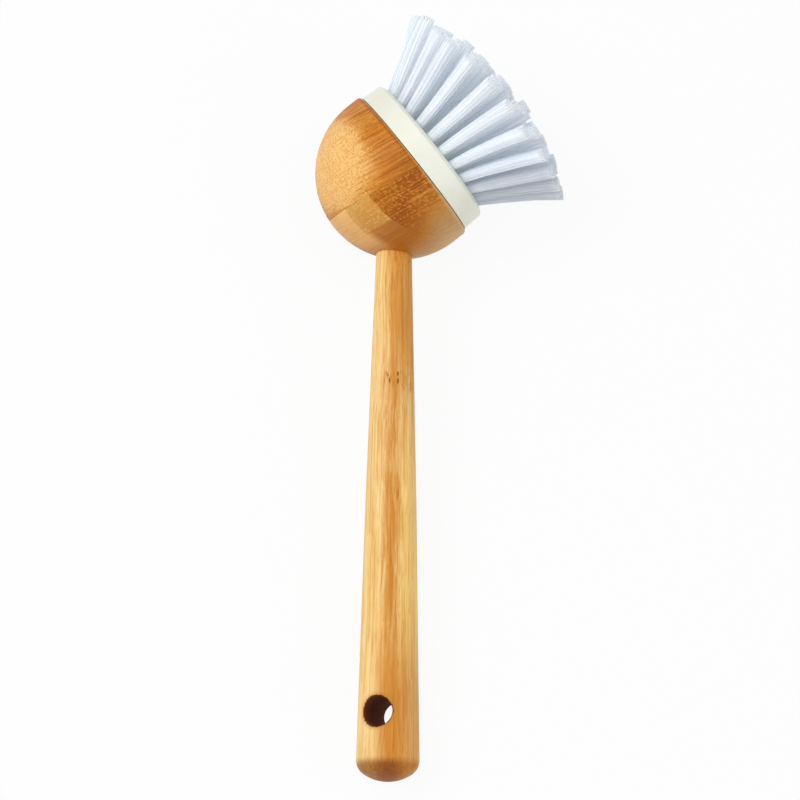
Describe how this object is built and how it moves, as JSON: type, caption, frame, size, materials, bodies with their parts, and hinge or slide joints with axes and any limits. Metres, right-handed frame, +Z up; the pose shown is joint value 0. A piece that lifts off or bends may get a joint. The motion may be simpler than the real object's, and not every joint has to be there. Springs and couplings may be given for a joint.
{
  "type": "dish brush",
  "caption": "Dish brush with a turned bamboo handle, a ball-shaped bamboo head block set at a slant and a round plastic bristle head that unscrews.",
  "frame": {"origin": "centre of the bounding box, on the floor that the brush lies on", "axes": "+X along the handle from the butt to the head as seen from above, +Z up from the floor"},
  "size_m": [0.2414, 0.0784, 0.0711],
  "materials": {
    "handle_bamboo": "oiled, fine sanded",
    "block_bamboo": "oiled, fine sanded",
    "cream_plastic": "satin moulded",
    "nylon_bristle": "satin filaments",
    "staple_wire": "bright wire"
  },
  "bodies": {
    "handle_and_block": {"handle": "handle_bamboo", "head_dome": "block_bamboo"},
    "screw_travel": {"centre_tuft": "nylon_bristle"},
    "bristle_head": {"brush_plate": "cream_plastic", "first_ring_tufts": "nylon_bristle", "second_tuft_01": "nylon_bristle", "second_tuft_02": "nylon_bristle", "second_tuft_03": "nylon_bristle", "second_tuft_04": "nylon_bristle", "second_tuft_05": "nylon_bristle", "second_tuft_06": "nylon_bristle", "second_tuft_07": "nylon_bristle", "second_tuft_08": "nylon_bristle", "second_tuft_09": "nylon_bristle", "second_tuft_10": "nylon_bristle", "second_tuft_11": "nylon_bristle", "second_tuft_12": "nylon_bristle", "third_tuft_01": "nylon_bristle", "third_tuft_02": "nylon_bristle", "third_tuft_03": "nylon_bristle", "third_tuft_04": "nylon_bristle", "third_tuft_05": "nylon_bristle", "third_tuft_06": "nylon_bristle", "third_tuft_07": "nylon_bristle", "third_tuft_08": "nylon_bristle", "third_tuft_09": "nylon_bristle", "third_tuft_10": "nylon_bristle", "third_tuft_11": "nylon_bristle", "third_tuft_12": "nylon_bristle", "third_tuft_13": "nylon_bristle", "third_tuft_14": "nylon_bristle", "third_tuft_15": "nylon_bristle", "third_tuft_16": "nylon_bristle", "third_tuft_17": "nylon_bristle", "third_tuft_18": "nylon_bristle", "outer_tuft_01": "nylon_bristle", "outer_tuft_02": "nylon_bristle", "outer_tuft_03": "nylon_bristle", "outer_tuft_04": "nylon_bristle", "outer_tuft_05": "nylon_bristle", "outer_tuft_06": "nylon_bristle", "outer_tuft_07": "nylon_bristle", "outer_tuft_08": "nylon_bristle", "outer_tuft_09": "nylon_bristle", "outer_tuft_10": "nylon_bristle", "outer_tuft_11": "nylon_bristle", "outer_tuft_12": "nylon_bristle", "outer_tuft_13": "nylon_bristle", "outer_tuft_14": "nylon_bristle", "outer_tuft_15": "nylon_bristle", "outer_tuft_16": "nylon_bristle", "outer_tuft_17": "nylon_bristle", "outer_tuft_18": "nylon_bristle", "outer_tuft_19": "nylon_bristle", "outer_tuft_20": "nylon_bristle", "outer_tuft_21": "nylon_bristle", "outer_tuft_22": "nylon_bristle", "outer_tuft_23": "nylon_bristle", "outer_tuft_24": "nylon_bristle", "anchor_staples": "staple_wire"}
  },
  "joints": [
    {"name": "head_travel", "type": "slide", "parent": "handle_and_block", "child": "screw_travel", "axis": [0.5966, -0.7675, 0.2347], "range_m": [0, 0.008]},
    {"name": "head_unscrew", "type": "hinge", "parent": "screw_travel", "child": "bristle_head", "pos_m": [0.0724, 0.00846, 0.02817], "axis": [0.5966, -0.7675, 0.2347], "range_deg": [0, 720]}
  ],
  "couplings": [
    {"joint": "head_travel", "follows": "head_unscrew", "m_per_rad": 0.00063662}
  ]
}
